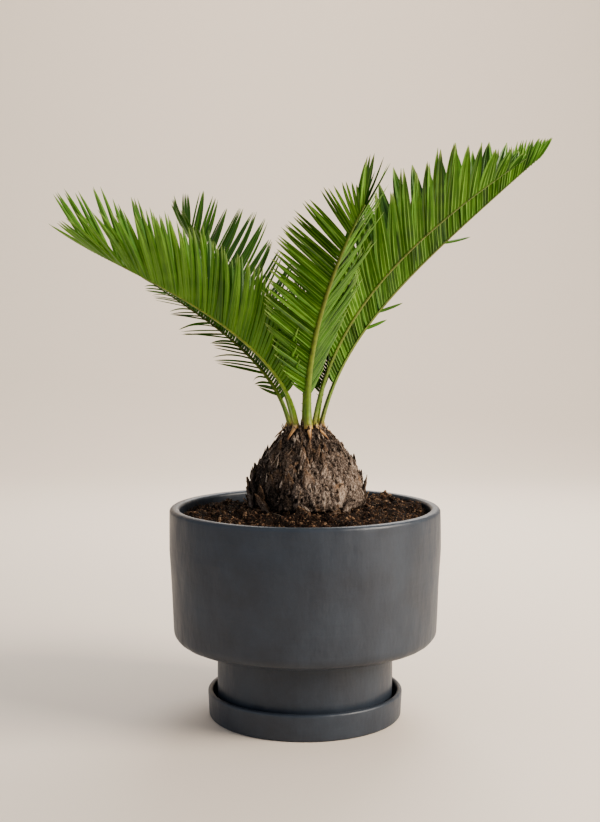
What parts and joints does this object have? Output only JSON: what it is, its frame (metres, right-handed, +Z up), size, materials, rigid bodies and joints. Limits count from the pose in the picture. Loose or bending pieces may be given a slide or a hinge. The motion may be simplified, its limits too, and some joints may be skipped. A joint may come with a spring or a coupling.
{
  "type": "potted sago palm",
  "caption": "Young sago palm: a swollen scaly stem with stiff feather-like fronds arching from its top, in a round bowl-shaped pot on a narrower foot that stands in a saucer.",
  "frame": {"origin": "centre of the saucer's flat underside, on which the plant stands", "axes": "+Z up along the pot's axis; the picture looks along +Y, with +X to its right"},
  "size_m": [0.4379, 0.2766, 0.518],
  "materials": {
    "glazed_clay": "satin",
    "potting_soil": "matte",
    "leaf_base_armour": "matte",
    "frond_green": "satin"
  },
  "bodies": {
    "root": {"saucer": "glazed_clay", "pot": "glazed_clay", "soil": "potting_soil", "stem": "leaf_base_armour", "frond_front": "frond_green", "frond_left_front": "frond_green", "frond_right_front": "frond_green", "frond_left_back": "frond_green", "frond_right": "frond_green", "frond_left": "frond_green", "frond_right_back": "frond_green", "frond_back": "frond_green"}
  },
  "joints": []
}
